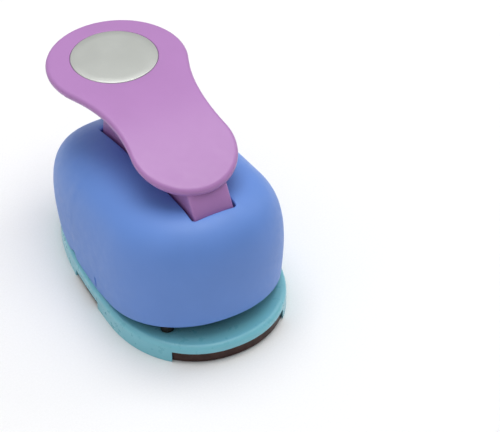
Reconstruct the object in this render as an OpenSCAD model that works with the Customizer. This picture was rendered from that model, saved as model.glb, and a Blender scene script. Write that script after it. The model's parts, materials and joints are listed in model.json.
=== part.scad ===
// Lever craft punch for 2 inch circles.
// Built around the punch axis, with the paper throat towards -Y and the
// thumb paddle towards +Y, then moved so that the origin lies on the table
// below the middle of the whole object.

/* [Punched shape] */
// Diameter of the punched circle
hole_d = 50.8; // [42:0.2:62]
// Play between the cutter and the plates it runs through, on the radius
cut_play = 0.03; // [0.01:0.01:0.08]

/* [Base] */
// Reach of the base past the circle on each side
side_margin = 12.3; // [11.8:0.1:20]
// Reach of the base past the circle at the paper side
front_margin = 17.2; // [14:0.1:22]
// Reach of the base past the circle at the back
rear_margin = 52.6; // [43:0.1:64]
// Height of the base tray
base_h = 9; // [7.5:0.5:12]
// Wall of the base skirt
skirt_t = 2.4; // [1.8:0.1:3]
// Width of the notch in the front skirt
notch_w = 50.8; // [30:0.2:56]
// Height of the front notch
notch_h = 5.4; // [3:0.1:6]
// Length of the notch in each side skirt
side_notch_l = 22; // [10:1:24]
// Height of the side notches
side_notch_h = 3.4; // [2:0.2:5]

/* [Cover] */
// Height of the crown above the base, measured over the front tip
cover_h = 56.1; // [46:0.1:68]
// Slope of the crown towards the back, in degrees
crown_slope = 7.6; // [4:0.1:9]
// Wall of the cover
cover_t = 2.4; // [1.8:0.1:2.6]
// How far the cover stands back from the front tip of the base
cover_setback = 5.6; // [2:0.1:6]
// Height of the throat at the front
throat_h = 7.5; // [5:0.1:9]
// Squareness of the crown's rounding
crown_power = 4.3; // [3.4:0.1:5]
// How far the cover's walls swell out between its lower edge and its crown
cover_swell = 1.1; // [0:0.1:1.6]

/* [Die set] */
// Thickness of the die plate
die_t = 3; // [2:0.1:3.6]
// Height of the gap that the paper slides into
paper_gap = 2.2; // [1.8:0.1:3]
// Thickness of the guide plate
guide_t = 2.5; // [2:0.1:3.2]
// Height of the cutter
cutter_h = 8.6; // [7:0.1:10.4]
// Radius of the guide posts
post_r = 1.6; // [1.3:0.1:1.8]
// Radius of the spring wire
wire_r = 0.45; // [0.3:0.05:0.55]

/* [Lever] */
// Height of the lever's bend above the crown's front tip
lever_rise = 18.2; // [17.2:0.1:28]
// Thickness of the lever plate's rim
plate_t = 3.7; // [3.4:0.1:6]
// Radius of the plate's front end
lobe_r = 21.5; // [17:0.1:24]
// Radius of the thumb paddle
paddle_r = 29.1; // [24:0.1:33]
// Distance from the punch axis to the middle of the paddle
paddle_y = 59.3; // [50:0.1:66]
// Radius of the hollow sides between the two round ends
waist_r = 71; // [58:1:100]
// Radius of the round label disc
badge_r = 18; // [12:0.1:21]
// Thickness of the label disc
badge_t = 0.8; // [0.4:0.1:1.2]
// Width of the hollow column that enters the cover
column_w = 17.4; // [14:0.1:19]
// Reach of the column's round back face from the pivot
column_r = 79; // [74:0.5:84]
// Wall of the column
column_t = 2.2; // [1.6:0.1:2.6]
// Radius of the pivot pin
pivot_r = 2.5; // [2:0.1:3]
// Distance from the pivot to the load roller, which sits on the punch axis
arm_l = 20; // [17:0.5:22]
// Radius of the load roller
roller_r = 5; // [4:0.1:6]
// Radius of the load roller's pin
roller_pin_r = 1.75; // [1.4:0.05:2.2]

/* [Screws] */
// Radius of the screws' threads
screw_r = 1.5; // [1.2:0.1:1.7]
// Radius of the screws' heads
head_r = 2.75; // [2.4:0.05:3]

/* [Hidden] */
$fn = 72;

fit = 0.02;           // radial clearance of parts that are pressed or screwed together
run = 0.05;           // radial clearance of parts that turn or slide
face_gap = 0.05;      // gap between faces that rub
seat_gap = 0.15;      // play of plates in their seats
over = 1;             // how far a cut runs past the faces it opens
hole_r = hole_d / 2;
round_fn = 144;       // smoothness of the punched circle

// Plan outline of the body: two half superellipses that share the widest line
half_w = hole_r + side_margin;
front_l = hole_r + front_margin;
rear_l = hole_r + rear_margin;
front_power = 2.14;
base_power = 2.75;
cover_power = 2.95;
steps = 72;

function spow(v, p) = sign(v) * pow(abs(v), p);
function egg_point(i, w, front, rear, rear_power) =
    let (a = 360 * i / steps,
         back = sin(a) >= 0,
         p = 2 / (back ? rear_power : front_power))
    [w * spow(cos(a), p), (back ? rear : front) * spow(sin(a), p)];
function egg(inset = 0) = [for (i = [0 : steps - 1])
    egg_point(i, half_w - inset, front_l - inset, rear_l - inset, base_power)];

// Heights, from the table up
deck_t = 2.4;
ledge_t = 1.8;
die_z = base_h - die_t;
guide_z = base_h + paper_gap;
guide_top = guide_z + guide_t;
cutter_z = guide_z + 0.4;
ram_z = cutter_z + cutter_h;
ram_disc_t = 3.5;
arm_z = ram_z + 5.8;
arm_t = 4;
arm_top = arm_z + arm_t;
ram_top = arm_top + 1.45;
wear_t = 1.5;
wear_top = ram_top + wear_t;
pivot_z = wear_top + face_gap + roller_r;
pivot_y = -arm_l;

// Die set, in plan
plate_r = hole_r + 4.1;
die_r = hole_r + 3.6;
opening_r = hole_r + 1;
platform_wall = 2.2;
gauge_front = hole_r + 2.1;
gauge_back = gauge_front + 11;
plate_half = hole_r + 2.6;
post_x = hole_r + 4.7;
ear_r = 3.8;
die_screw = [hole_r - 3.4, gauge_front + 5.6];
guide_screw = [hole_r - 2.8, -hole_r + 1.9];
guide_ear_r = head_r + 0.15;
guide_neck_w = 4;
guide_head_t = 1.4;

// Posts, springs and retaining clips
washer_t = 0.8;
spring_r = 3.05;
spring_turns = 5;
dead_turn = 0.14;     // share of the spring's turns that lie flat at each end
clip_t = 0.6;
clip_z = arm_top + face_gap;
groove = 0.3;
post_tip = 1.2;

// Base screws, from the back edge of the body forwards
base_screw_points = [[half_w - 11.7, rear_l - 30.5], [half_w - 25.7, rear_l - 11]];
base_head_t = 1.8;
sheet_t = 1;
sheet_z = base_head_t + 0.6;
flange_in = 0.9;
flange_t = 1.2;
flange_z = sheet_z - 1.8;
boss_r = 2.8;
boss_depth = 12;
screw_play = 0.1;     // play of a screw in the hole that it only passes through

// Notches in the skirt
side_notch_y = 9.5;
notch_gap = 0.15;

// Cover
cover_in = 0.8;
cover_over = 0.8;
seam_y = hole_r - 14.4;
crown_z = base_h + cover_h;
crown_steps = 13;
rib_t = 3.2;
rib_drop = 6.5;

// Lever
bend_y = 20;
bend_soft = 20;
front_slope = 0.3;
rear_slope = -0.05;
skin_t = 2.2;
rim_t = 2.2;
web_t = 1.4;
web_points = [12, 34, paddle_y + 15];
eye_r = pivot_r + 3;
column_front = pivot_y - 2.3;
column_lean = 6;      // how far the column's front face leans back at its top
plate_setback = 3.4;  // how far the plate's front tip is behind the column's foot
slot_gap = 1;
slot_front = column_front - 0.7;
slot_rise = crown_top(pivot_y + column_r) - cover_t - pivot_z;
slot_back = pivot_y + sqrt(pow(column_r + 0.7, 2) - pow(slot_rise, 2));
slot_corner_r = 1.5;
rib_x = column_w / 2 + slot_gap;
pivot_l = 2 * (rib_x + rib_t) + 4;
badge_y = paddle_y + 2.6;
badge_tilt = atan(plate_slope(badge_y));

// Ram
ram_r = hole_r - 0.8;
spine_w = 10;
head_block = [18, 16];
wear_block = [15.6, 13.6];
peg_x = 5.5;
peg_r = 1.2;
peg_l = 2.8;
bush_t = 0.9;
ram_ear_r = ear_r - 0.4;
cutter_screw_points = [[hole_r / 2, hole_r * 0.55], [hole_r / 2, -hole_r * 0.55]];

// The origin is below the middle of the whole object's length
mid_y = (paddle_y + paddle_r - front_l) / 2;

// Height of the crown over a point in plan, and of the cover's lower edge
function crown_top(y) = crown_z - (y + front_l) * tan(crown_slope);
function lip(y) = base_h
    + throat_h * pow(max(0, (seam_y - y) / (seam_y + front_l - cover_setback)), 1.15);

// Height and slope of the lever plate's top: two slopes with a soft bend between them
function plate_top(y) = crown_z + lever_rise
    + (front_slope + rear_slope) / 2 * (y - bend_y)
    + (rear_slope - front_slope) / 2 * sqrt(pow(y - bend_y, 2) + pow(bend_soft, 2));
function plate_slope(y) = (front_slope + rear_slope) / 2
    + (rear_slope - front_slope) / 2 * (y - bend_y) / sqrt(pow(y - bend_y, 2) + pow(bend_soft, 2));

// Points of an arc about (x, y)
function arc(x, y, r, from, to, n) =
    [for (i = [0 : n]) let (a = from + (to - from) * i / n) [x + r * cos(a), y + r * sin(a)]];

// ---- shared shapes ----

// Moves a piece from the punch axis to the object's own frame
module placed() {
    translate([0, -mid_y, 0]) children();
}

module mirrored() {
    children();
    mirror([1, 0, 0]) children();
}

module at(points) {
    for (p = points) translate([p[0], p[1], 0]) children();
}

module slab(z0, z1) {
    translate([0, 0, z0]) linear_extrude(z1 - z0) children();
}

// Round hole between two heights, cut a little past both
module hole(r, z0, z1) {
    translate([0, 0, z0 - over]) cylinder(r = r, h = z1 - z0 + 2 * over);
}

// Rounded rectangle between two corners
module round_rect(x0, y0, x1, y1, r) {
    translate([x0 + r, y0]) square([x1 - x0 - 2 * r, y1 - y0]);
    translate([x0, y0 + r]) square([x1 - x0, y1 - y0 - 2 * r]);
    for (x = [x0 + r, x1 - r], y = [y0 + r, y1 - r]) translate([x, y]) circle(r);
}

// Rounded rectangle of a given size about the punch axis
module block(size, r) {
    round_rect(-size[0] / 2, -size[1] / 2, size[0] / 2, size[1] / 2, r);
}

// Cylinder along X, centred on x = 0
module cross_rod(r, l, y, z) {
    translate([-l / 2, y, z]) rotate([0, 90, 0]) cylinder(r = r, h = l);
}

// Side profile in Y and Z, extruded along X and centred on x = 0
module side_slab(w) {
    translate([-w / 2, 0, 0]) rotate([90, 0, 90]) linear_extrude(w) children();
}

// Ring cut into a pin, which a clip of radius r sits in
module ring_groove(r, outer) {
    difference() {
        cylinder(r = outer + over, h = clip_t + 2 * fit);
        hole(r, 0, clip_t + 2 * fit);
    }
}

// Retaining clip, open on the side of -Y
module e_clip(r, outer) {
    difference() {
        cylinder(r = outer, h = clip_t);
        hole(r + fit, 0, clip_t);
        translate([-r * 0.85, -outer - over, -over]) cube([r * 1.7, outer + over, clip_t + 2 * over]);
    }
}

// Pan head screw that points up, with its head's seat at z
module screw_up(z, l, head_t) {
    translate([0, 0, z - head_t]) difference() {
        cylinder(r = head_r, h = head_t);
        cross_recess(head_t * 0.6);
    }
    translate([0, 0, z]) cylinder(r = screw_r, h = l);
}

// Cross recess cut into a screw's head from below
module cross_recess(depth) {
    arm = head_r * 1.2;
    blade = 0.7;
    for (a = [0, 90]) rotate([0, 0, a])
        translate([-arm / 2, -blade / 2, -over]) cube([arm, blade, depth + over]);
}

// Plan outline of the die plate, grown by g
module die_outline(g = 0) {
    circle(r = die_r + g);
    translate([-plate_half - g, 0]) square([2 * (plate_half + g), gauge_back + g]);
}

// Plan of the skirt's front notch and of its two side notches, drawn in by g
module front_notch(g = 0) {
    translate([-notch_w / 2 + g, -front_l - over]) square([notch_w - 2 * g, front_l * 0.8]);
}

module side_notches(g = 0) {
    mirrored() translate([half_w * 0.8, side_notch_y + g])
        square([half_w * 0.2 + over, side_notch_l - 2 * g]);
}

// ---- base ----

module base_tray() {
    color("#78b4c3") placed() difference() {
        slab(0, base_h) polygon(egg());
        // underside, open below the deck and around the die platform
        slab(-over, die_z - ledge_t) polygon(egg(skirt_t));
        difference() {
            slab(die_z - ledge_t - over, base_h - deck_t) polygon(egg(skirt_t));
            slab(0, base_h) die_outline(platform_wall);
            mirrored() at(base_screw_points) cylinder(r = head_r + 1, h = base_h);
        }
        // seat of the die plate and the way out for the punched circles
        slab(die_z, base_h + over) die_outline(seat_gap);
        hole(opening_r, 0, base_h);
        mirrored() {
            translate(die_screw) cylinder(r = head_r + 0.4, h = base_h);
            at(base_screw_points) hole(screw_r + screw_play, 0, base_h);
        }
        slab(-over, notch_h) front_notch();
        slab(-over, side_notch_h) side_notches();
    }
}

// Steel sheet under the deck, with flanges that show in the notches
module bottom_plate() {
    color("#6a4a44") placed() difference() {
        union() {
            slab(sheet_z, sheet_z + sheet_t) {
                polygon(egg(skirt_t + 0.2));
                intersection() {
                    polygon(egg(flange_in));
                    union() {
                        front_notch(notch_gap);
                        side_notches(notch_gap);
                    }
                }
            }
            flange(notch_h - notch_gap) front_notch(notch_gap);
            flange(side_notch_h - notch_gap) side_notches(notch_gap);
        }
        hole(opening_r + 1.6, 0, base_h);
        mirrored() at(base_screw_points) cylinder(r = screw_r + screw_play, h = base_h);
    }
}

// Turned edge of the bottom plate inside a notch, up to the height top
module flange(top) {
    slab(flange_z, top) intersection() {
        difference() {
            polygon(egg(flange_in));
            polygon(egg(flange_in + flange_t));
        }
        children();
    }
}

// ---- die set ----

module die_plate() {
    color("silver") placed() difference() {
        slab(die_z, base_h) die_outline();
        hole(hole_r, die_z, base_h, $fn = round_fn);
        mirrored() translate([die_screw[0], die_screw[1], die_z]) {
            hole(screw_r + fit, 0, die_t);
            cylinder(r1 = head_r + fit, r2 = screw_r + fit, h = head_r - screw_r);
        }
    }
}

// Shim between the die plate and the guide plate, which sets the paper gap
module gauge_spacer() {
    color("gray") placed() slab(base_h, guide_z) difference() {
        translate([-plate_half, gauge_front]) square([2 * plate_half, gauge_back - gauge_front]);
        mirrored() translate(die_screw) circle(r = screw_r + fit);
    }
}

module guide_plate() {
    color("dimgray") placed() difference() {
        slab(guide_z, guide_top) {
            circle(r = plate_r);
            translate([-plate_half, 0]) square([2 * plate_half, gauge_back]);
            translate([-post_x, -ear_r]) square([2 * post_x, 2 * ear_r]);
            mirrored() {
                translate([post_x, 0]) circle(r = ear_r);
                translate(guide_screw) circle(r = guide_ear_r);
                rotate(atan2(guide_screw[1], guide_screw[0])) translate([hole_r, -guide_neck_w / 2])
                    square([norm(guide_screw) - hole_r, guide_neck_w]);
            }
        }
        hole(hole_r, guide_z, guide_top, $fn = round_fn);
        mirrored() {
            translate([post_x, 0]) hole(post_r + fit, guide_z, guide_top);
            translate(guide_screw) hole(screw_r + fit, guide_z, guide_top);
            translate(die_screw) hole(screw_r + fit, guide_z, guide_top);
        }
    }
}

// Posts that the ram slides on, each with a groove for its clip
module guide_posts() {
    color("silver") placed() mirrored() translate([post_x, 0, 0]) difference() {
        translate([0, 0, guide_z]) cylinder(r = post_r, h = clip_z + clip_t + post_tip - guide_z);
        translate([0, 0, clip_z - fit]) ring_groove(post_r - groove, post_r);
    }
}

module spring_washers() {
    color("silver") placed() mirrored() translate([post_x, 0, guide_top]) difference() {
        cylinder(r = spring_r + 0.4, h = washer_t);
        hole(post_r + run, 0, washer_t);
    }
}

module post_clips() {
    color("silver") placed() mirrored() translate([post_x, 0, clip_z])
        e_clip(post_r - groove, ear_r - 0.8);
}

// Return springs: a round wire swept along a helix with flattened ends
module return_springs() {
    color("gainsboro") placed() mirrored() translate([post_x, 0, 0])
        coil(spring_r - wire_r, guide_top + washer_t + wire_r, arm_z - wire_r, spring_turns, wire_r);
}

function coil_rise(t) = min(1, max(0, (t - dead_turn) / (1 - 2 * dead_turn)));

module coil(r, z0, z1, turns, wire) {
    seg = 18;
    sides = 8;
    n = turns * seg;
    pts = [for (i = [0 : n]) for (j = [0 : sides - 1])
        let (a = 360 * i / seg, b = 360 * j / sides, reach = r + wire * cos(b))
        [reach * cos(a), reach * sin(a), z0 + (z1 - z0) * coil_rise(i / n) + wire * sin(b)]];
    tube = [for (i = [0 : n - 1]) for (j = [0 : sides - 1])
        let (k = (j + 1) % sides)
        [i * sides + j, (i + 1) * sides + j, (i + 1) * sides + k, i * sides + k]];
    first = [for (j = [0 : sides - 1]) j];
    last = [for (j = [sides - 1 : -1 : 0]) n * sides + j];
    polyhedron(points = pts, faces = concat([first, last], tube), convexity = 10);
}

// ---- cover ----

// Closed crown shape, drawn in by inset from the outside of the cover. Its
// lower edge follows the throat, or lies flat at z = low where low is given.
module crown(inset, low = undef) {
    w = half_w - cover_in - inset;
    front = front_l - cover_setback - inset;
    rear = rear_l + cover_over - inset;
    pts = [for (k = [0 : crown_steps - 1]) for (i = [0 : steps - 1])
        let (a = 90 * k / crown_steps,
             up = pow(sin(a), 2 / crown_power),
             reach = pow(cos(a), 2 / crown_power) * (1 + 4 * cover_swell / w * up * (1 - up)),
             p = egg_point(i, w, front, rear, cover_power) * reach,
             foot = lip(p[1]),
             top = crown_top(p[1]) - inset)
        [p[0], p[1], k == 0 && low != undef ? low : foot + (top - foot) * up]];
    walls = [for (k = [0 : crown_steps - 2]) for (i = [0 : steps - 1])
        let (j = (i + 1) % steps)
        [k * steps + i, (k + 1) * steps + i, (k + 1) * steps + j, k * steps + j]];
    floor_face = [for (i = [0 : steps - 1]) i];
    roof = [for (i = [steps - 1 : -1 : 0]) (crown_steps - 1) * steps + i];
    polyhedron(points = pts, faces = concat([floor_face, roof], walls), convexity = 4);
}

module upper_cover() {
    color("#7396d2") placed() difference() {
        crown(0);
        // inside, less the pivot ribs and the screw bosses
        difference() {
            crown(cover_t, -over);
            mirrored() {
                translate([rib_x, pivot_y - eye_r - 2, pivot_z - rib_drop])
                    cube([rib_t, 2 * eye_r + 4, crown_z]);
                translate([guide_screw[0], guide_screw[1], guide_top]) cylinder(r = boss_r, h = crown_z);
                translate([die_screw[0], die_screw[1], guide_top]) cylinder(r = boss_r + 0.4, h = crown_z);
                at(base_screw_points) translate([0, 0, base_h]) cylinder(r = boss_r + 0.4, h = crown_z);
            }
        }
        // slot for the lever's column
        slab(pivot_z - eye_r, crown_z + 20)
            round_rect(-rib_x, slot_front, rib_x, slot_back, slot_corner_r);
        cross_rod(pivot_r + fit, 2 * (rib_x + rib_t + over), pivot_y, pivot_z);
        mirrored() {
            translate(guide_screw) screw_bore(guide_top);
            translate(die_screw) screw_bore(guide_top);
            at(base_screw_points) screw_bore(base_h);
        }
    }
}

// Blind bore of a boss that starts at height z
module screw_bore(z) {
    translate([0, 0, z - over]) cylinder(r = screw_r + fit, h = boss_depth + over);
}

// ---- fasteners ----

module die_screws() {
    cone_h = head_r - screw_r;
    color("silver") placed() mirrored() translate([die_screw[0], die_screw[1], die_z]) difference() {
        union() {
            cylinder(r1 = head_r, r2 = screw_r, h = cone_h);
            cylinder(r = screw_r, h = guide_top - die_z + boss_depth - 1);
        }
        cross_recess(0.8);
    }
}

module guide_screws() {
    color("#3a3430") placed() mirrored() translate(guide_screw)
        screw_up(guide_z, guide_t + boss_depth - 1, guide_head_t);
}

module base_screws() {
    color("silver") placed() mirrored() at(base_screw_points)
        screw_up(sheet_z, base_h - sheet_z + boss_depth - 1, base_head_t);
}

// ---- pivot ----

// Places a piece on the pivot's axis, pointing outwards from a given x
module on_pivot(x) {
    mirrored() translate([x, pivot_y, pivot_z]) rotate([0, 90, 0]) children();
}

module pivot_pin() {
    color("silver") placed() difference() {
        cross_rod(pivot_r, pivot_l, pivot_y, pivot_z);
        on_pivot(rib_x + rib_t + face_gap - fit) ring_groove(pivot_r - groove, pivot_r);
    }
}

module pivot_washers() {
    washer_w = slot_gap - 2 * face_gap;
    color("white") placed() on_pivot(column_w / 2 + face_gap) difference() {
        cylinder(r = pivot_r + 2, h = washer_w);
        hole(pivot_r + run, 0, washer_w);
    }
}

module pivot_clips() {
    color("silver") placed() on_pivot(rib_x + rib_t + face_gap) e_clip(pivot_r - groove, pivot_r + 1.8);
}

// ---- lever ----

// Plan outline of the plate, drawn in by g: two round ends and hollow sides between them
module plate_outline(g = 0) {
    front_y = column_front + plate_setback + lobe_r;
    d = paddle_y - front_y;
    along = (d * d + pow(lobe_r + waist_r, 2) - pow(paddle_r + waist_r, 2)) / (2 * d);
    across = sqrt(pow(lobe_r + waist_r, 2) - along * along);
    front_a = atan2(along, across);
    back_a = atan2(along - d, across);
    right = concat(
        arc(0, front_y, lobe_r - g, -90, front_a, 20),
        arc(across, front_y + along, waist_r + g, 180 + front_a, 180 + back_a, 14),
        arc(0, paddle_y, paddle_r - g, back_a, 90, 24));
    n = len(right);
    polygon(concat(right, [for (i = [n - 2 : -1 : 1]) [-right[i][0], right[i][1]]]));
}

// Slab that follows the plate's curved top, between two depths below it
module plate_layer(upper, lower) {
    bays = 30;
    ys = [for (i = [0 : bays]) -front_l + (paddle_y + paddle_r + 6 + front_l) * i / bays];
    side_slab(2 * paddle_r + 10) polygon(concat(
        [for (y = ys) [y, plate_top(y) - upper]],
        [for (i = [bays : -1 : 0]) [ys[i], plate_top(ys[i]) - lower]]));
}

// Plan of the plate, raised into a block that spans its heights
module plate_block(g = 0) {
    slab(crown_z, crown_z + 2 * lever_rise) plate_outline(g);
}

// Side outline of the column, drawn in by g and ending at a depth below the
// plate's top, which it follows. Its back face is an arc about the pivot, so it
// fills the slot in every position.
module column_side(g, depth) {
    arch = pivot_z - roller_pin_r - 1.65 - 3 * g;
    lean_y = column_front + column_lean + g;
    back_end = asin((plate_top(pivot_y + 0.85 * column_r) - depth - pivot_z) / (column_r - g));
    back_y = pivot_y + (column_r - g) * cos(back_end);
    bays = 8;
    ys = [for (i = [bays - 1 : -1 : 1]) lean_y + (back_y - lean_y) * i / bays];
    polygon(concat([
        [lean_y, plate_top(lean_y) - depth],
        [column_front + g, crown_top(column_front) - 2],
        [pivot_y - eye_r + g, pivot_z + 2],
        [pivot_y - eye_r + g, pivot_z - g],
        [pivot_y, pivot_z - eye_r - 3 * g],
        [-1.6 * roller_r, arch],
        [1.6 * roller_r, arch],
        [0.3 * column_r, pivot_z - 3 * g]],
        arc(pivot_y, pivot_z, column_r - g, g > 0 ? 0 : 4, back_end, 10),
        [for (y = ys) [y, plate_top(y) - depth]]));
}

module lever_handle() {
    color("#c08ccd") placed() difference() {
        union() {
            intersection() {
                plate_block();
                plate_layer(0, plate_t);
            }
            side_slab(column_w) column_side(0, plate_t - 1);
            cross_rod(eye_r, column_w, pivot_y, pivot_z);
        }
        // underside of the plate, inside its rim and clear of the column and the webs
        difference() {
            intersection() {
                plate_block(rim_t);
                plate_layer(skin_t, plate_t + over);
            }
            translate([-column_w / 2, column_front, 0])
                cube([column_w, column_r * 0.9, 2 * crown_z]);
            for (y = web_points) translate([-paddle_r, y, 0]) cube([2 * paddle_r, web_t, 2 * crown_z]);
        }
        // inside of the column, less the pivot boss and the middle web
        difference() {
            side_slab(column_w - 2 * column_t) column_side(column_t, skin_t + 0.4);
            cross_rod(eye_r, column_w, pivot_y, pivot_z);
            translate([-0.8, roller_r + 4, pivot_z + 3]) cube([1.6, column_r, crown_z]);
        }
        // recess of the label disc
        badge_place() cylinder(r = badge_r + 0.1, h = 10);
        cross_rod(pivot_r + run, 2 * column_w, pivot_y, pivot_z);
        cross_rod(roller_pin_r + fit, 2 * column_w, 0, pivot_z);
    }
}

// Puts a piece into the bottom of the label disc's recess
module badge_place() {
    translate([0, badge_y, plate_top(badge_y)]) rotate([badge_tilt, 0, 0])
        translate([0, 0, -badge_t]) children();
}

module lever_badge() {
    color("gainsboro") placed() badge_place() cylinder(r = badge_r, h = badge_t);
}

module roller_pin() {
    color("silver") placed() cross_rod(roller_pin_r, column_w, 0, pivot_z);
}

module load_roller() {
    color("gold") placed() difference() {
        cross_rod(roller_r, column_w - 2 * column_t - 1.6, 0, pivot_z);
        cross_rod(roller_pin_r + run, column_w, 0, pivot_z);
    }
}

// ---- ram ----

module ram_block() {
    color("#e8e6e0") placed() difference() {
        union() {
            slab(ram_z, ram_z + ram_disc_t) circle(r = ram_r);
            slab(ram_z, arm_top) translate([-ram_r, -spine_w / 2]) square([2 * ram_r, spine_w]);
            slab(arm_z, arm_top) {
                translate([-post_x, -ram_ear_r]) square([2 * post_x, 2 * ram_ear_r]);
                mirrored() translate([post_x, 0]) circle(r = ram_ear_r);
            }
            slab(ram_z, ram_top) block(head_block, 1.5);
        }
        mirrored() {
            translate([post_x, 0]) hole(post_r + bush_t + fit, arm_z, arm_top);
            at(cutter_screw_points) hole(screw_r + fit, ram_z, arm_top);
            translate([peg_x, 0, ram_top - peg_l - 0.2]) cylinder(r = peg_r + fit, h = peg_l + over);
        }
    }
}

module ram_bushes() {
    color("#b08d57") placed() mirrored() translate([post_x, 0, arm_z]) difference() {
        cylinder(r = post_r + bush_t, h = arm_t);
        hole(post_r + run, 0, arm_t);
    }
}

// Hardened plate that the roller presses on, with two pegs into the ram
module wear_plate() {
    color("silver") placed() {
        slab(ram_top, wear_top) block(wear_block, 1.2);
        mirrored() translate([peg_x, 0, ram_top - peg_l]) cylinder(r = peg_r, h = peg_l);
    }
}

// Round cutter with a hollow-ground lower face
module punch_cutter() {
    grind_t = 1.5;
    thread_l = 6;
    color("lightsteelblue") placed() difference() {
        translate([0, 0, cutter_z]) cylinder(r = hole_r - cut_play, h = cutter_h, $fn = round_fn);
        translate([0, 0, cutter_z - fit]) cylinder(r1 = hole_r - 1.2, r2 = hole_r - 4, h = grind_t);
        mirrored() at(cutter_screw_points) translate([0, 0, ram_z - thread_l])
            cylinder(r = screw_r + fit, h = thread_l + over);
    }
}

module cutter_screws() {
    color("silver") placed() mirrored() at(cutter_screw_points)
        translate([0, 0, ram_z + ram_disc_t]) mirror([0, 0, 1]) screw_up(0, ram_disc_t + 5, 2);
}

// ---- nodes ----

base_tray();
bottom_plate();
die_plate();
gauge_spacer();
guide_plate();
upper_cover();
guide_posts();
spring_washers();
return_springs();
post_clips();
pivot_pin();
pivot_washers();
pivot_clips();
die_screws();
guide_screws();
base_screws();
lever_handle();
lever_badge();
roller_pin();
load_roller();
ram_block();
ram_bushes();
wear_plate();
punch_cutter();
cutter_screws();
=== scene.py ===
"""Lever craft punch: detailed surfaces, materials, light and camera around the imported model.

Shapes are worked out in millimetres about the punch axis, x to the right, y towards the
thumb paddle and z up from the table, and `world()` turns them into the frame's metres.
"""
import json
import math

import bmesh
import bpy
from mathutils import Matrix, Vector

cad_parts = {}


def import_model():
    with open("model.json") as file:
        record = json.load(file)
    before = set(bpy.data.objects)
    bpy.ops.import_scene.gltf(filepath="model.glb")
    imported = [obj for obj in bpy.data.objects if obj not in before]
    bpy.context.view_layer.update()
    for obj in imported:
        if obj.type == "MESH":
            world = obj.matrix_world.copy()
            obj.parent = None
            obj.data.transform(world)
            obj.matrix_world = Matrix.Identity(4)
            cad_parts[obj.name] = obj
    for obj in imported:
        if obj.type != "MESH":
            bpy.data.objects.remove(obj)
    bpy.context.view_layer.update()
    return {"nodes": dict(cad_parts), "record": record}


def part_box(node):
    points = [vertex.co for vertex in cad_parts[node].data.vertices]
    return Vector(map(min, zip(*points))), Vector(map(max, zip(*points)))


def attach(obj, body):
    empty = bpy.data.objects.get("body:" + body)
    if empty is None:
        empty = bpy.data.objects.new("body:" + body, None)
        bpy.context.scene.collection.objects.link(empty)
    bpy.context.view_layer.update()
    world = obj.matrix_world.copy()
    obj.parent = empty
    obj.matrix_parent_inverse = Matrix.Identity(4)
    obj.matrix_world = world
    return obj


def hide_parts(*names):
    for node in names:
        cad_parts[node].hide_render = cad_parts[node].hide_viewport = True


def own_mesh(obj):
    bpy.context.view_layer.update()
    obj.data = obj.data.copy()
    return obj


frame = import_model()
scene = bpy.context.scene

MM = 0.001
SAME = 1e-5   # metres between points that count as level
WELD = 2e-6   # metres between points that are joined
cutter_low, cutter_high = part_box("punch_cutter")
AXIS_Y = (cutter_low[1] + cutter_high[1]) / 2


def world(x, y, z):
    return Vector((x * MM, AXIS_Y + y * MM, z * MM))


def box_mm(node):
    """Lowest and highest corner of a CAD node, in millimetres about the punch axis."""
    low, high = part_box(node)
    return [Vector((c[0] / MM, (c[1] - AXIS_Y) / MM, c[2] / MM)) for c in (low, high)]


# ---- sizes, from the frame ----

base_low, base_high = box_mm("base_tray")
HALF_W = base_high.x
FRONT = -base_low.y
REAR = base_high.y
BASE_H = base_high.z
SHOULDER_R = 2.3
BASE_EDGE = 0.25
AT_OUTLINE = 0.985
ON_OUTLINE = 0.999

# Cover
COVER_W = HALF_W - 0.8
COVER_FRONT = FRONT - 5.6
COVER_REAR = REAR + 0.8
COVER_WALL = 2.4
FRONT_POWER = 2.14
COVER_POWER = 2.95
CROWN_POWER = 4.3
BASE_POWER = 2.75
SWELL = 1.1
CROWN_Z = BASE_H + 56.1
CROWN_SLOPE = math.tan(math.radians(7.6))
THROAT_H = 7.5
THROAT_POWER = 1.15
SEAM_Y = 11.0
SNAP_SLIT = (31.6, 36.0)
SLIT_H = 2.0
GROOVE_Y = 11.0
GROOVE_HALF = 0.5
GROOVE_DEPTH = 0.6
GROOVE_Z = (1, 6.5)
RIM_R = 0.9
RIB_T = 3.2
RIB_REACH = 2
RIB_DROP = 6.5
ROOF_LAP = 0.8
BOSS_R = 2.9
BOSS_BORE_R = 1.52
BOSS_FOOT = 13.72
SCREW_HEAD_R = 2.75

# Lever
plate_high = box_mm("lever_handle")[1]
pin_low, pin_high = box_mm("pivot_pin")
PIVOT = Vector((0, (pin_low.y + pin_high.y) / 2, (pin_low.z + pin_high.z) / 2))
badge_low, badge_high = box_mm("lever_badge")
BADGE_R = badge_high.x
BADGE_Y = (badge_low.y + badge_high.y) / 2
BADGE_T = 0.8
PADDLE_R = plate_high.x
PADDLE_Y = plate_high.y - PADDLE_R
COLUMN_W = 17.4
COLUMN_FRONT = PIVOT.y - 2.3
COLUMN_LEAN = 6.0
PLATE_FRONT = COLUMN_FRONT + 3.4
LOBE_R = 21.5
WAIST_R = 71.0
PLATE_T = 3.7
PLATE_TOP_R = 1.6
PLATE_UNDER_R = 1.9
PLATE_RIM_W = 2.9
UNDER_CIRCLE_R = 9
SKIN = 2.2
WEB_HALF = 0.7
BEND_Y, BEND_SOFT = 20.0, 20.0
SLOPES = (0.3, -0.05)
PLATE_Z = CROWN_Z + 18.2
COLUMN_R = 79.0
COLUMN_WALL = 2.2
COLUMN_EDGE = 1.1
EYE_R = 5.5
ROLLER_R = 5.0
PIVOT_BORE_R = 2.55
ROLLER_BORE_R = 1.77
SLOT_X = COLUMN_W / 2 + 1
SLOT_FRONT = COLUMN_FRONT - 0.7
SLOT_CORNER = 1.5
SLOT_ROUND = 0.55


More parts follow.
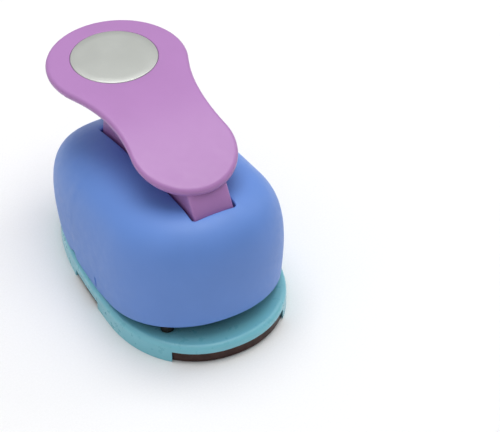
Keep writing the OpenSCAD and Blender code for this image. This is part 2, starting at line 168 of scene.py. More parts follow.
def crown_top(y):
    return CROWN_Z - (y + FRONT) * CROWN_SLOPE


SLOT_BACK = PIVOT.y + math.sqrt(
    (COLUMN_R + 0.7) ** 2 - (crown_top(PIVOT.y + COLUMN_R) - COVER_WALL - PIVOT.z) ** 2)


def plate_top(y):
    """Height of the lever plate's top: two slopes with a soft bend between them."""
    front, rear = SLOPES
    reach = y - BEND_Y
    return (PLATE_Z + (front + rear) / 2 * reach
            + (rear - front) / 2 * math.hypot(reach, BEND_SOFT))


# ---- meshes ----

def finish_mesh(name, bm, body, slot, replaces=(), sharp=32):
    """Turns a bmesh into a smooth-shaded piece that rides on a body."""
    bmesh.ops.recalc_face_normals(bm, faces=bm.faces)
    for face in bm.faces:
        face.smooth = True
    for edge in bm.edges:
        if len(edge.link_faces) == 2:
            edge.smooth = edge.calc_face_angle(0) < math.radians(sharp)
    mesh = bpy.data.meshes.new(name)
    bm.to_mesh(mesh)
    bm.free()
    piece = bpy.data.objects.new(name, mesh)
    scene.collection.objects.link(piece)
    mesh.materials.append(MATERIALS[slot])
    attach(piece, body)
    if replaces:
        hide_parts(*replaces)
    return piece


def skin_rings(bm, rings, wrap=False, cap_first=False, cap_last=False):
    """Quads between rings of points in millimetres, with end caps if asked."""
    rows = [[bm.verts.new(world(*p)) for p in ring] for ring in rings]
    following = rows[1:] + ([rows[0]] if wrap else [])
    for lower, upper in zip(rows, following):
        for i in range(len(lower)):
            j = (i + 1) % len(lower)
            bm.faces.new((lower[i], lower[j], upper[j], upper[i]))
    if cap_first:
        bm.faces.new(list(reversed(rows[0])))
    if cap_last:
        bm.faces.new(rows[-1])
    return rows


def add_box(bm, low, high):
    """A box between two corners in millimetres."""
    (x0, y0, z0), (x1, y1, z1) = low, high
    outline = [(x0, y0), (x1, y0), (x1, y1), (x0, y1)]
    skin_rings(bm, [[(x, y, z) for x, y in outline] for z in (z0, z1)],
               cap_first=True, cap_last=True)


def add_tube(bm, x, y, z0, z1, outer, inner, sides=36):
    """A tube along Z with small chamfers at its lower end."""
    turns = [2 * math.pi * i / sides for i in range(sides)]
    circle = [(math.cos(turn), math.sin(turn)) for turn in turns]
    chamfer = 0.3
    steps = [(outer, z1), (outer, z0 + chamfer), (outer - chamfer, z0), (inner + chamfer, z0),
             (inner, z0 + chamfer), (inner, z1)]
    skin_rings(bm, [[(x + r * c, y + r * s, z) for c, s in circle] for r, z in steps], wrap=True)


def cad_shape(node):
    """The shape of a CAD node as a clean bmesh in metres: welded, with flat faces whole."""
    bm = bmesh.new()
    bm.from_mesh(frame["nodes"][node].data)
    bmesh.ops.remove_doubles(bm, verts=bm.verts, dist=WELD)
    bmesh.ops.dissolve_limit(bm, angle_limit=math.radians(0.05), verts=bm.verts, edges=bm.edges)
    return bm


# ---- materials ----

MATERIALS = {}


class Nodes:
    """A material's node tree with short ways to add and join nodes."""

    def __init__(self, name):
        self.material = MATERIALS[name] = bpy.data.materials.new(name)
        self.material.use_nodes = True
        self.tree = self.material.node_tree
        self.shader = self.tree.nodes["Principled BSDF"]
        self.place = self.add("ShaderNodeTexCoord").outputs["Object"]

    def add(self, kind, **inputs):
        node = self.tree.nodes.new(kind)
        for name, value in inputs.items():
            node.inputs[name.replace("_", " ")].default_value = value
        return node

    def join(self, source, target):
        self.tree.links.new(source, target)

    def noise(self, scale, detail=3.0, roughness=0.55, stretch=(1, 1, 1)):
        """Noise of a feature size given in millimetres."""
        mapping = self.add("ShaderNodeMapping", Scale=stretch)
        self.join(self.place, mapping.inputs["Vector"])
        noise = self.add("ShaderNodeTexNoise", Scale=1 / (scale * MM), Detail=detail,
                         Roughness=roughness)
        self.join(mapping.outputs["Vector"], noise.inputs["Vector"])
        return noise.outputs["Fac"]

    def spread(self, source, low, high, start=0.3, end=0.7):
        """A value between low and high as the source goes from start to end."""
        ranged = self.add("ShaderNodeMapRange", From_Min=start, From_Max=end, To_Min=low, To_Max=high)
        self.join(source, ranged.inputs["Value"])
        return ranged.outputs["Result"]

    def blend(self, amount, one, other):
        """The colour between two, by an amount."""
        mix = self.tree.nodes.new("ShaderNodeMix")
        mix.data_type = "RGBA"
        self.join(amount, mix.inputs["Factor"])
        for socket, value in ((mix.inputs[6], one), (mix.inputs[7], other)):
            if isinstance(value, bpy.types.NodeSocket):
                self.join(value, socket)
            else:
                socket.default_value = (*value, 1)
        return mix.outputs[2]

    def bump(self, source, height, under=None):
        """Bump of a height in millimetres over another one."""
        bump = self.add("ShaderNodeBump", Strength=1.0, Distance=height * MM)
        self.join(source, bump.inputs["Height"])
        if under is not None:
            self.join(under, bump.inputs["Normal"])
        return bump.outputs["Normal"]

    def shade(self, color=None, roughness=None, normal=None, **constants):
        for name, value in constants.items():
            self.shader.inputs[name.replace("_", " ")].default_value = value
        for name, value in (("Base Color", color), ("Roughness", roughness), ("Normal", normal)):
            if value is not None:
                self.join(value, self.shader.inputs[name])


def tinted(color, factor):
    return tuple(min(1, c * factor) for c in color)


def moulded_plastic(name, color, roughness, grain, coat=0.0, gloss=0.5, worn=0.12):
    """Injection-moulded plastic: spark-eroded grain, flow mottling and fine handling scuffs."""
    n = Nodes(name)
    mottle = n.noise(14, detail=2)
    flow = n.noise(42, detail=1, stretch=(1, 0.4, 1))
    base = n.blend(n.spread(flow, 0, 1), tinted(color, 0.96), tinted(color, 1.05))
    base = n.blend(n.spread(mottle, 0, 0.35), base, tinted(color, 1.08))
    scuff = n.noise(1.1, detail=5, roughness=0.75, stretch=(1, 0.08, 1))
    marks = n.spread(scuff, 0, worn, 0.62, 0.78)
    base = n.blend(marks, base, tinted(color, 1.5))
    rough = n.spread(n.noise(3, detail=4), roughness - 0.05, roughness + 0.07)
    fine = n.bump(n.noise(0.22, detail=2), grain)
    wavy = n.bump(n.noise(9, detail=1), grain * 2, under=fine)
    n.shade(base, rough, wavy, Coat_Weight=coat, Coat_Roughness=0.25, Specular_IOR_Level=gloss)


def ground_metal(name, color, roughness, stretch=(1, 30, 1), depth=0.004, stain=0.85, spot=12):
    """Bare metal with fine grinding lines, a mottled film and small bright scratches."""
    n = Nodes(name)
    lines = n.noise(3, detail=4, roughness=0.7, stretch=stretch)
    film = n.noise(spot, detail=4)
    base = n.blend(n.spread(film, 0, 1), tinted(color, stain), tinted(color, 1.06))
    base = n.blend(n.spread(lines, 0, 0.35, 0.55, 0.75), base, tinted(color, 1.3))
    rough = n.spread(lines, roughness - 0.07, roughness + 0.1)
    normal = n.bump(lines, depth, under=n.bump(n.noise(0.4, detail=2), depth * 0.6))
    n.shade(base, rough, normal, Metallic=1.0)


def sintered_bronze(name, color):
    """Porous bearing bronze with dark oil in its pores."""
    n = Nodes(name)
    pores = n.noise(0.35, detail=3, roughness=0.7)
    base = n.blend(n.spread(pores, 0, 1, 0.35, 0.6), tinted(color, 0.45), color)
    n.shade(base, n.spread(pores, 0.5, 0.3), n.bump(pores, 0.02), Metallic=1.0)


def natural_nylon(name, color):
    n = Nodes(name)
    cloud = n.noise(6, detail=3)
    base = n.blend(n.spread(cloud, 0, 1), tinted(color, 0.93), color)
    n.shade(base, n.spread(cloud, 0.38, 0.5), n.bump(n.noise(0.5, detail=3), 0.008),
            Subsurface_Weight=0.15, Subsurface_Scale=0.002)


def satin_label(name, color):
    """Thin satin-silvered disc with a fine even grain and faint handling marks."""
    n = Nodes(name)
    grain = n.noise(0.25, detail=4, roughness=0.7)
    cloud = n.noise(16, detail=2)
    rub = n.noise(1.4, detail=5, roughness=0.75, stretch=(0.12, 1, 1))
    base = n.blend(n.spread(cloud, 0, 1), tinted(color, 0.95), tinted(color, 1.04))
    base = n.blend(n.spread(grain, 0, 0.3, 0.4, 0.65), base, tinted(color, 0.86))
    base = n.blend(n.spread(rub, 0, 0.12, 0.62, 0.8), base, tinted(color, 1.2))
    n.shade(base, n.spread(grain, 0.34, 0.46), n.bump(grain, 0.006), Metallic=0.55)


def coiled_wire(name, color):
    """Drawn wire: marks along the draw and a thin film of oil."""
    n = Nodes(name)
    draw = n.noise(0.5, detail=4, stretch=(1, 1, 6))
    base = n.blend(n.spread(draw, 0, 1), tinted(color, 0.7), tinted(color, 1.1))
    n.shade(base, n.spread(draw, 0.22, 0.38), n.bump(draw, 0.006), Metallic=1.0, Coat_Weight=0.3)


def paint_floor():
    n = Nodes("floor")
    paper = n.noise(0.8, detail=4)
    base = n.blend(n.spread(paper, 0, 1), (0.91, 0.91, 0.91), (0.95, 0.95, 0.95))
    n.shade(base, n.spread(paper, 0.6, 0.7), n.bump(paper, 0.01))


def make_materials():
    moulded_plastic("cover_plastic", (0.135, 0.272, 0.680), 0.44, 0.006, gloss=0.35)
    moulded_plastic("lever_plastic", (0.420, 0.200, 0.475), 0.36, 0.004)
    moulded_plastic("base_plastic", (0.190, 0.540, 0.640), 0.30, 0.003, coat=0.3)
    satin_label("label_silver", (0.56, 0.58, 0.55))
    # dark_sheet: dark steel whose brown tint and much of its darkness are a painted reflection of a
    # warm orange surface and painted shade in the base's front notch
    ground_metal("dark_sheet", (0.085, 0.050, 0.045), 0.36, stretch=(0.3, 0.3, 6), spot=5, stain=0.6)
    ground_metal("die_steel", (0.56, 0.57, 0.59), 0.28, spot=9)
    ground_metal("dark_steel", (0.060, 0.048, 0.042), 0.42, spot=4, stain=0.6)
    ground_metal("bright_steel", (0.60, 0.60, 0.62), 0.22, stretch=(1, 1, 12), spot=3)
    coiled_wire("spring_wire", (0.50, 0.51, 0.53))
    natural_nylon("nylon", (0.80, 0.78, 0.72))
    sintered_bronze("bronze", (0.50, 0.33, 0.15))
    paint_floor()


# ---- cover ----

def outline_norm(x, y, inset=0.0):
    """1 on the cover's plan outline drawn in by inset, less inside it."""
    length = (COVER_REAR if y >= 0 else COVER_FRONT) - inset
    power = COVER_POWER if y >= 0 else FRONT_POWER
    return ((abs(x) / (COVER_W - inset)) ** power + (abs(y) / length) ** power) ** (1 / power)


def slot_distance(x, y):
    """How far a point is outside the slot's outline, or inside it where negative."""
    middle = (SLOT_FRONT + SLOT_BACK) / 2
    dx = abs(x) - SLOT_X + SLOT_CORNER
    dy = abs(y - middle) - (SLOT_BACK - SLOT_FRONT) / 2 + SLOT_CORNER
    outside = math.hypot(max(dx, 0), max(dy, 0))
    return outside + min(max(dx, dy), 0) - SLOT_CORNER


def slot_reach(heading, distance):
    """How far from the punch axis the slot's outline, grown by a distance, lies in a heading."""
    near, far = 0.0, COVER_REAR
    for _ in range(40):
        middle = (near + far) / 2
        if slot_distance(middle * math.cos(heading), middle * math.sin(heading)) > distance:
            far = middle
        else:
            near = middle
    return near


def lip(x, y):
    """Height of the cover's lower edge: flat at the back, rising over the throat, with a snap
    slit in each side."""
    rise = max(0.0, (SEAM_Y - y) / (SEAM_Y + COVER_FRONT))
    slit = SLIT_H if SNAP_SLIT[0] < y < SNAP_SLIT[1] and abs(x) > HALF_W / 2 else 0.0
    return BASE_H + THROAT_H * rise ** THROAT_POWER + slit


def swell(turn):
    """The cover's side profile: height and reach, both from 0 to 1, at a turn up its side."""
    up = math.sin(turn) ** (2 / CROWN_POWER)
    reach = math.cos(turn) ** (2 / CROWN_POWER) * (1 + 4 * SWELL / COVER_W * up * (1 - up))
    return up, reach


def cover_point(heading, turn, inset):
    """A point of the cover's outside, drawn in by inset: turn 0 is at the lower edge and 90
    degrees over the punch axis."""
    x, y = math.cos(heading), math.sin(heading)
    up, reach = swell(turn)
    scale = reach / outline_norm(x, y, inset)
    x, y = x * scale, y * scale
    foot = lip(x, y) + RIM_R
    z = foot + (crown_top(y) - inset - foot) * up
    above = z - foot
    if abs(y - GROOVE_Y) < GROOVE_HALF and GROOVE_Z[0] < above < GROOVE_Z[1] and inset == 0:
        x -= math.copysign(GROOVE_DEPTH, x)
    return x, y, z


def roof(x, y):
    """Height of the cover's inside over a point."""
    norm = outline_norm(x, y, COVER_WALL)
    low, high = 0.0, math.pi / 2
    for _ in range(30):
        turn = (low + high) / 2
        up, reach = swell(turn)
        if reach > norm:
            low = turn
        else:
            high = turn
    foot = lip(x, y) + RIM_R
    return foot + (crown_top(y) - COVER_WALL - foot) * up


def cover_headings():
    """Even headings, with more of them where the slot's corners, the slits and the grooves are."""
    even = 168
    headings = {round(2 * math.pi * i / even, 6) for i in range(even)}
    marks = [(COVER_W, GROOVE_Y + d) for d in (-0.75, -0.45, 0.45, 0.75)]
    marks += [(COVER_W, y + d) for y in SNAP_SLIT for d in (-0.12, 0.12)]
    for y, away in ((SLOT_FRONT, 1), (SLOT_BACK, -1)):
        for i in range(7):
            turn = math.pi / 2 * i / 6
            marks.append((SLOT_X - SLOT_CORNER * (1 - math.sin(turn)),
                          y + away * SLOT_CORNER * (1 - math.cos(turn))))
    span = SLOT_BACK - SLOT_FRONT
    marks += [(SLOT_X, SLOT_FRONT + span * i / 18) for i in range(1, 18)]
    for x, y in marks:
        for side in (-1, 1):
            headings.add(round(math.atan2(y, side * x) % (2 * math.pi), 6))
    ordered = sorted(headings)
    kept = [ordered[0]]
    for heading in ordered[1:]:
        if heading - kept[-1] > 1e-3:
            kept.append(heading)
    return kept


def cover_surface(headings, inset, levels):
    """Rings from just above the lower edge to the slot's rounded edge."""
    rings = []
    ends = []
    for heading in headings:
        reach = slot_reach(heading, SLOT_ROUND if inset == 0 else 0.0)
        norm = outline_norm(math.cos(heading), math.sin(heading), inset) * reach
        ends.append(math.acos(min(1.0, norm ** (CROWN_POWER / 2))))
    for k in range(levels + 1):
        share = (k / levels) ** 2.1
        rings.append([cover_point(h, end * share, inset) for h, end in zip(headings, ends)])
    return rings


def build_cover():
    """The cover as one shell: outside, rounded slot edge, inside and rounded lower rim."""
    headings = cover_headings()
    outside = cover_surface(headings, 0.0, 40)
    inside = cover_surface(headings, COVER_WALL, 16)
    edge = []
    for i in range(1, 6):
        turn = math.pi / 2 * i / 5
        ring = []
        for heading, top in zip(headings, outside[-1]):
            reach = slot_reach(heading, SLOT_ROUND * (1 - math.sin(turn)))
            x, y = reach * math.cos(heading), reach * math.sin(heading)
            ring.append((x, y, top[2] - SLOT_ROUND * (1 - math.cos(turn))))
        edge.append(ring)
    rim = []
    for middle, sweep in ((RIM_R, 1), (COVER_WALL - RIM_R, -1)):
        for i in range(5):
            turn = math.pi / 2 * (i / 4 if sweep < 0 else 1 - i / 4)
            inset = middle - sweep * RIM_R * math.sin(turn)
            ring = []
            for heading in headings:
                c, s = math.cos(heading), math.sin(heading)
                reach = 1 / outline_norm(c, s, inset)
                x, y = c * reach, s * reach
                ring.append((x, y, lip(x, y) + RIM_R * (1 - math.cos(turn))))
            rim.append(ring)
    bm = bmesh.new()
    skin_rings(bm, rim_to_outside(rim) + outside[1:] + edge + inside[::-1][:-1], wrap=True)
    finish_mesh("cover_shell", bm, "punch_body", "cover_plastic", ["upper_cover"], sharp=40)


def rim_to_outside(rim):
    """The lower rim's rings in order from the inside wall to the outside wall."""
    outer, inner = rim[:5], rim[5:]
    return inner[::-1] + outer[::-1]


def build_cover_ribs():
    """Pivot ribs and screw bosses inside the cover."""
    bm = bmesh.new()
    for side in (-1, 1):
        xs = sorted((side * SLOT_X, side * (SLOT_X + RIB_T)))
        front, rear = PIVOT.y - EYE_R - RIB_REACH, PIVOT.y + EYE_R + RIB_REACH
        top = min(roof(x, y) for x in xs for y in (front, rear))
        add_box(bm, (xs[0], front, PIVOT.z - RIB_DROP), (xs[1], rear, top + ROOF_LAP))
    finish_mesh("cover_ribs", bm, "punch_body", "cover_plastic")
    bm = bmesh.new()
    for node in ("die_screws", "guide_screws"):
        low, high = box_mm(node)
        x = high.x - SCREW_HEAD_R
        y = (low.y + high.y) / 2
        top = min(roof(x + BOSS_R, y + d) for d in (-BOSS_R, BOSS_R)) + ROOF_LAP
        for side in (-1, 1):
            add_tube(bm, side * x, y, BOSS_FOOT, top, BOSS_R, BOSS_BORE_R)
    finish_mesh("cover_bosses", bm, "punch_body", "cover_plastic")


# ---- base ----

def build_base():
    """The base tray with its wide rounded shoulder and broken edges."""
    bm = cad_shape("base_tray")
    top = BASE_H * MM
    shoulder = []
    for edge in bm.edges:
        a, b = (v.co for v in edge.verts)
        if len(edge.link_faces) != 2 or edge.calc_face_angle(0) < math.radians(30):
            continue
        outside = max(base_norm(a), base_norm(b)) > AT_OUTLINE
        if outside and abs(a.z - top) < SAME and abs(b.z - top) < SAME:
            shoulder.append(edge)
    bmesh.ops.bevel(bm, geom=shoulder, offset=SHOULDER_R * MM, segments=7, profile=0.5, affect="EDGES",
                    clamp_overlap=True)
    corners = [edge for edge in bm.edges
               if len(edge.link_faces) == 2 and edge.calc_face_angle(0) > math.radians(50)]
    bmesh.ops.bevel(bm, geom=corners, offset=BASE_EDGE * MM, segments=2, profile=0.5, affect="EDGES",
                    clamp_overlap=True)
    piece = finish_mesh("base_shell", bm, "punch_body", "base_plastic", ["base_tray"], sharp=40)
    mesh = piece.data
    normals = [Vector()] * len(mesh.loops)
    for face in mesh.polygons:
        for index in face.loop_indices:
            point = mesh.vertices[mesh.loops[index].vertex_index].co
            if abs(face.normal.z) < 0.05 and base_norm(point) > ON_OUTLINE:
                normals[index] = wall_normal(point)
    mesh.normals_split_custom_set(normals)


def wall_normal(point):
    """Outward direction of the base's plan outline at a point in metres."""
    x, y = point.x / MM, (point.y - AXIS_Y) / MM
    power, length = (BASE_POWER, REAR) if y >= 0 else (FRONT_POWER, FRONT)
    along_x = math.copysign((abs(x) / HALF_W) ** (power - 1) / HALF_W, x)
    along_y = math.copysign((abs(y) / length) ** (power - 1) / length, y)
    return Vector((along_x, along_y, 0)).normalized()


def base_norm(point):
    """1 on the base's plan outline, less inside it; the point is in metres."""
    x, y = point.x / MM, (point.y - AXIS_Y) / MM
    power, length = (BASE_POWER, REAR) if y >= 0 else (FRONT_POWER, FRONT)
    return ((abs(x) / HALF_W) ** power + (abs(y) / length) ** power) ** (1 / power)


# ---- lever ----

def plate_outline():
    """Half-turn arcs of the lobe, the waist and the paddle, joined into one closed outline."""
    lobe_y = PLATE_FRONT + LOBE_R
    span = PADDLE_Y - lobe_y
    along = (span ** 2 + (LOBE_R + WAIST_R) ** 2 - (PADDLE_R + WAIST_R) ** 2) / (2 * span)
    across = math.sqrt((LOBE_R + WAIST_R) ** 2 - along ** 2)
    front_end = math.atan2(along, across)
    back_end = math.atan2(along - span, across)
    arcs = [(0, lobe_y, LOBE_R, -math.pi / 2, front_end, 30),
            (across, lobe_y + along, WAIST_R, math.pi + front_end, math.pi + back_end, 24),
            (0, PADDLE_Y, PADDLE_R, back_end, math.pi / 2, 40)]
    right = []
    for x, y, r, start, end, count in arcs:
        for i in range(count + 1):
            turn = start + (end - start) * i / count
            point = (x + r * math.cos(turn), y + r * math.sin(turn))
            sign = -1 if r == WAIST_R else 1
            outward = (sign * math.cos(turn), sign * math.sin(turn))
            if right and math.dist(point, right[-1][0]) < 1e-6:
                continue
            right.append((point, outward))
    left = [((-p[0], p[1]), (-n[0], n[1])) for p, n in right[-2:0:-1]]
    return right + left


def build_plate():
    """The lever's plate: crowned edges, the disc's recess and a hollow underside with a rim."""
    outline = plate_outline()
    upper_r, lower_r, rim_w = PLATE_TOP_R, PLATE_UNDER_R, PLATE_RIM_W

    def ring(inset, drop):
        return [(p[0] - n[0] * inset, p[1] - n[1] * inset, plate_top(p[1] - n[1] * inset) - drop)
                for p, n in outline]

    def towards_disc(radius, share, drop):
        """Rings that blend from the plate's edge into a circle about the disc."""
        points = []
        for p, n in outline:
            heading = math.atan2(p[1] - BADGE_Y, p[0])
            cx, cy = radius * math.cos(heading), BADGE_Y + radius * math.sin(heading)
            ex, ey = p[0] - n[0] * upper_r, p[1] - n[1] * upper_r
            x, y = ex + (cx - ex) * share, ey + (cy - ey) * share
            points.append((x, y, plate_top(y) - drop))
        return points

    recess = BADGE_R + 0.12
    rings = []
    for i in range(5):
        turn = math.pi / 2 * i / 4
        rings.append(ring(lower_r * (1 - math.sin(turn)), PLATE_T - lower_r * (1 - math.cos(turn))))
    for i in range(8):
        turn = math.pi / 2 * i / 7
        rings.append(ring(upper_r * (1 - math.cos(turn)), upper_r * (1 - math.sin(turn))))
    for i in range(1, 19):
        rings.append(towards_disc(recess + 0.35, i / 18, 0.0))
    floor = BADGE_T + 0.02
    for radius, drop in ((recess + 0.17, 0.04), (recess + 0.03, 0.17), (recess, 0.3),
                         (recess, floor), (recess - 6, floor)):
        rings.append(towards_disc(radius, 1.0, drop))
    bm = bmesh.new()
    top_rows = skin_rings(bm, rings, cap_last=True)
    under = [ring(lower_r + 0.2, PLATE_T), ring(rim_w - 0.2, PLATE_T), ring(rim_w, PLATE_T - 0.2),
             ring(rim_w + 0.1, SKIN + 0.4), ring(rim_w + 0.5, SKIN)]
    under += [blend_rings(under[4], share / 12) for share in range(1, 12)]
    under_rows = skin_rings(bm, under, cap_last=True)
    count = len(outline)
    for i in range(count):
        j = (i + 1) % count
        bm.faces.new((under_rows[0][i], under_rows[0][j], top_rows[0][j], top_rows[0][i]))
    finish_mesh("lever_plate", bm, "lever", "lever_plastic", ["lever_handle"], sharp=45)


def blend_rings(ring, share):
    """A ring drawn together towards a circle below the disc, under the plate's skin."""
    points = []
    for x, y, _ in ring:
        heading = math.atan2(y - BADGE_Y, x)
        cx = UNDER_CIRCLE_R * math.cos(heading)
        cy = BADGE_Y + UNDER_CIRCLE_R * math.sin(heading)
        nx, ny = x + (cx - x) * share, y + (cy - y) * share
        points.append((nx, ny, plate_top(ny) - SKIN))
    return points


def column_side(inset, depth):
    """Side outline of the column, drawn in by inset, up to a depth below the plate's top."""
    arch = PIVOT.z - 3.4 - 3 * inset
    lean_y = COLUMN_FRONT + COLUMN_LEAN + inset
    rise = plate_top(PIVOT.y + 0.85 * COLUMN_R) - depth - PIVOT.z
    back_end = math.asin(rise / (COLUMN_R - inset))
    start = 0.0 if inset else math.radians(4)
    points = [(lean_y, plate_top(lean_y) - depth),
              (COLUMN_FRONT + inset, crown_top(COLUMN_FRONT) - 2),
              (PIVOT.y - EYE_R + inset, PIVOT.z + 2),
              (PIVOT.y - EYE_R + inset, PIVOT.z - inset),
              (PIVOT.y, PIVOT.z - EYE_R - 3 * inset),
              (-1.6 * ROLLER_R, arch),
              (1.6 * ROLLER_R, arch),
              (0.3 * COLUMN_R, PIVOT.z - 3 * inset)]
    for i in range(13):
        turn = start + (back_end - start) * i / 12
        points.append((PIVOT.y + (COLUMN_R - inset) * math.cos(turn),
                       PIVOT.z + (COLUMN_R - inset) * math.sin(turn)))
    back_y = points[-1][0]
    for i in range(9, 0, -1):
        y = lean_y + (back_y - lean_y) * i / 10
        points.append((y, plate_top(y) - depth))
    return points


def prism(name, side, half):
    """A scratch object: a side outline extruded along X."""
    bm = bmesh.new()
    skin_rings(bm, [[(x, y, z) for y, z in side] for x in (-half, half)],
               cap_first=True, cap_last=True)
    bmesh.ops.recalc_face_normals(bm, faces=bm.faces)
    return scratch(name, bm)


def rod(name, y, z, radius, half, sides=64):
    turns = [2 * math.pi * i / sides for i in range(sides)]
    side = [(y + radius * math.cos(turn), z + radius * math.sin(turn)) for turn in turns]
    return prism(name, side, half)


def scratch(name, bm):
    mesh = bpy.data.meshes.new(name)
    bm.to_mesh(mesh)
    bm.free()
    piece = bpy.data.objects.new(name, mesh)
    scene.collection.objects.link(piece)
    return piece


def combine(target, tool, operation):
    """Applies a boolean of tool on target, and removes the tool."""
    modifier = target.modifiers.new("cut", "BOOLEAN")
    modifier.operation = operation
    modifier.solver = "EXACT"
    modifier.object = tool
    bpy.context.view_layer.update()
    evaluated = target.evaluated_get(bpy.context.evaluated_depsgraph_get())
    mesh = bpy.data.meshes.new_from_object(evaluated)
    target.modifiers.clear()
    old, target.data = target.data, mesh
    bpy.data.meshes.remove(old)
    bpy.data.objects.remove(tool)


def build_column():
    """The hollow column with its pivot eye, roller pin bores and rounded corners."""
    half = COLUMN_W / 2
    outer = prism("column", column_side(0, SKIN - 0.5), half)
    combine(outer, rod("eye", PIVOT.y, PIVOT.z, EYE_R, half), "UNION")
    hollow = prism("hollow", column_side(COLUMN_WALL, SKIN + 0.1), half - COLUMN_WALL)
    combine(hollow, rod("boss", PIVOT.y, PIVOT.z, EYE_R, half), "DIFFERENCE")
    combine(outer, hollow, "DIFFERENCE")
    combine(outer, rod("pivot_bore", PIVOT.y, PIVOT.z, PIVOT_BORE_R, COLUMN_W), "DIFFERENCE")
    combine(outer, rod("roller_bore", 0, PIVOT.z, ROLLER_BORE_R, COLUMN_W), "DIFFERENCE")
    bm = bmesh.new()
    bm.from_mesh(outer.data)
    bmesh.ops.remove_doubles(bm, verts=bm.verts, dist=WELD)
    bmesh.ops.dissolve_limit(bm, angle_limit=math.radians(0.4), verts=bm.verts, edges=bm.edges)
    bpy.data.objects.remove(outer)
    corners = []
    for edge in bm.edges:
        if len(edge.link_faces) == 2 and edge.calc_face_angle(0) > math.radians(50):
            a, b = (v.co for v in edge.verts)
            if min(abs(a.x), abs(b.x)) > (half - 0.1) * MM and min(a.z, b.z) > (PIVOT.z + 3) * MM:
                corners.append(edge)
    bmesh.ops.bevel(bm, geom=corners, offset=COLUMN_EDGE * MM, segments=5, profile=0.5, affect="EDGES",
                    clamp_overlap=True)
    finish_mesh("lever_column", bm, "lever", "lever_plastic", sharp=35)


def build_webs():
    """Stiffening webs under the plate and the middle web in the column."""
    bm = bmesh.new()
    for y in (12.7, 34.7, PADDLE_Y + 15.7):
        inner, outer = (0, 20) if y > BADGE_Y else (COLUMN_W / 2, 13)
        foot, top = plate_top(y) - PLATE_T + 0.3, plate_top(y) - SKIN + 0.5
        for side in (-1, 1):
            xs = sorted((side * inner, side * outer))
            add_box(bm, (xs[0], y - WEB_HALF, foot), (xs[1], y + WEB_HALF, top))
    add_box(bm, (-0.8, ROLLER_R + 4, PIVOT.z + 6), (0.8, 44, plate_top(ROLLER_R + 4) - SKIN - 0.3))
    finish_mesh("lever_webs", bm, "lever", "lever_plastic")


def build_badge():
    """The silver disc: a soft dome with a rounded edge, tilted as the plate under it."""
    tilt = (plate_top(BADGE_Y + 1) - plate_top(BADGE_Y - 1)) / 2
    sides = 128
    rings = []
    radii = [(BADGE_R, -BADGE_T + 0.02), (BADGE_R, -0.34), (BADGE_R - 0.06, -0.17),
             (BADGE_R - 0.17, -0.06), (BADGE_R - 0.34, 0.0), (BADGE_R * 0.8, 0.05),
             (BADGE_R * 0.5, 0.09), (BADGE_R * 0.2, 0.11)]
    for radius, lift in radii:
        ring = []
        for i in range(sides):
            turn = 2 * math.pi * i / sides
            x, y = radius * math.cos(turn), BADGE_Y + radius * math.sin(turn)
            ring.append((x, y, plate_top(BADGE_Y) + tilt * (y - BADGE_Y) + lift))
        rings.append(ring)
    bm = bmesh.new()
    skin_rings(bm, rings, cap_first=True, cap_last=True)
    finish_mesh("lever_disc", bm, "lever", "label_silver", ["lever_badge"], sharp=50)


# ---- springs ----

def build_springs():
    """The two return springs, wound round their posts, with flat ground ends."""
    low, high = box_mm("return_springs")
    wire, turns, seg, sides = 0.45, 5, 40, 12
    outer_r = 3.05
    post_x = high.x - outer_r
    coil_r = outer_r - wire
    flat = 0.14   # share of the wire at each end that lies flat
    z0, z1 = low.z + wire, high.z - wire
    bm = bmesh.new()
    for side in (-1, 1):
        rings = []
        for i in range(turns * seg + 1):
            share = i / (turns * seg)
            rise = min(1.0, max(0.0, (share - flat) / (1 - 2 * flat)))
            turn = 2 * math.pi * i / seg
            ring = []
            for j in range(sides):
                round_turn = 2 * math.pi * j / sides
                reach = coil_r + wire * math.cos(round_turn)
                ring.append((side * (post_x + reach * math.cos(turn)), reach * math.sin(turn),
                             z0 + (z1 - z0) * rise + wire * math.sin(round_turn)))
            rings.append(ring)
        skin_rings(bm, rings, cap_first=True, cap_last=True)
    piece = finish_mesh("return_coils", bm, "punch_body", "spring_wire", ["return_springs"], sharp=60)
    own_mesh(piece)


# ---- carried-over CAD nodes ----

def finish_nodes():
    """Gives each CAD node its slot's material."""
    for part in frame["record"]["subparts"]:
        node = frame["nodes"][part["node"]]
        if not node.material_slots:
            node.data.materials.append(None)
        for slot in node.material_slots:
            slot.material = MATERIALS[part["material_slot"]]


# ---- camera, floor and light ----

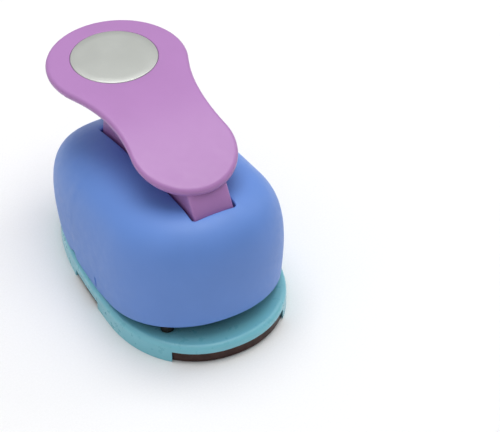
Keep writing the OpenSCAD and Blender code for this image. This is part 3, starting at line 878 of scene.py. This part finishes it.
def make_camera():
    """Camera at the photograph's viewing angle, level and without shift."""
    azimuth = math.radians(-29.4)
    elevation = math.radians(41.6)
    distance = 0.93757
    target = world(28.04, -0.89, 30.0)
    data = bpy.data.cameras.new("camera")
    data.lens = 165.6
    data.sensor_width = 36
    data.clip_start = 0.05
    data.clip_end = 20
    camera = bpy.data.objects.new("camera", data)
    scene.collection.objects.link(camera)
    back = Vector((math.sin(azimuth) * math.cos(elevation),
                   -math.cos(azimuth) * math.cos(elevation),
                   math.sin(elevation)))
    camera.location = target + back * distance
    camera.rotation_mode = "QUATERNION"
    camera.rotation_quaternion = (-back).to_track_quat("-Z", "Y")
    scene.camera = camera


def make_floor():
    bpy.ops.mesh.primitive_plane_add(size=6)
    floor = bpy.context.object
    floor.name = "floor"
    floor.data.materials.append(MATERIALS["floor"])


def area_light(name, location, target, size, power, color=(1, 1, 1)):
    data = bpy.data.lights.new(name, "AREA")
    data.shape = "RECTANGLE"
    data.size, data.size_y = size
    data.energy = power
    data.color = color
    light = bpy.data.objects.new(name, data)
    light.location = location
    light.rotation_mode = "QUATERNION"
    light.rotation_quaternion = (Vector(target) - Vector(location)).to_track_quat("-Z", "Y")
    scene.collection.objects.link(light)


def make_light():
    middle = (0, 0, 0.04)
    area_light("top", (0.10, 0.12, 0.95), middle, (0.7, 0.7), 5.2)
    area_light("right", (0.9, 0.05, 0.55), middle, (0.4, 0.6), 1.0)
    area_light("left", (-0.8, -0.15, 0.30), middle, (0.3, 0.4), 0.35)
    world_light = bpy.data.worlds.new("world")
    world_light.use_nodes = True
    tree = world_light.node_tree
    background = tree.nodes["Background"]
    place = tree.nodes.new("ShaderNodeTexCoord")
    split = tree.nodes.new("ShaderNodeSeparateXYZ")
    sky = tree.nodes.new("ShaderNodeMapRange")
    for name, value in (("From Min", 0.0), ("From Max", 0.9), ("To Min", 0.12), ("To Max", 0.75)):
        sky.inputs[name].default_value = value
    tree.links.new(place.outputs["Generated"], split.inputs["Vector"])
    tree.links.new(split.outputs["Z"], sky.inputs["Value"])
    tree.links.new(sky.outputs["Result"], background.inputs["Strength"])
    background.inputs["Color"].default_value = (1, 1, 1, 1)
    scene.world = world_light
    scene.view_settings.view_transform = "Standard"


make_materials()
make_camera()
make_floor()
make_light()
finish_nodes()
build_cover()
build_cover_ribs()
build_base()
build_plate()
build_column()
build_webs()
build_badge()
build_springs()
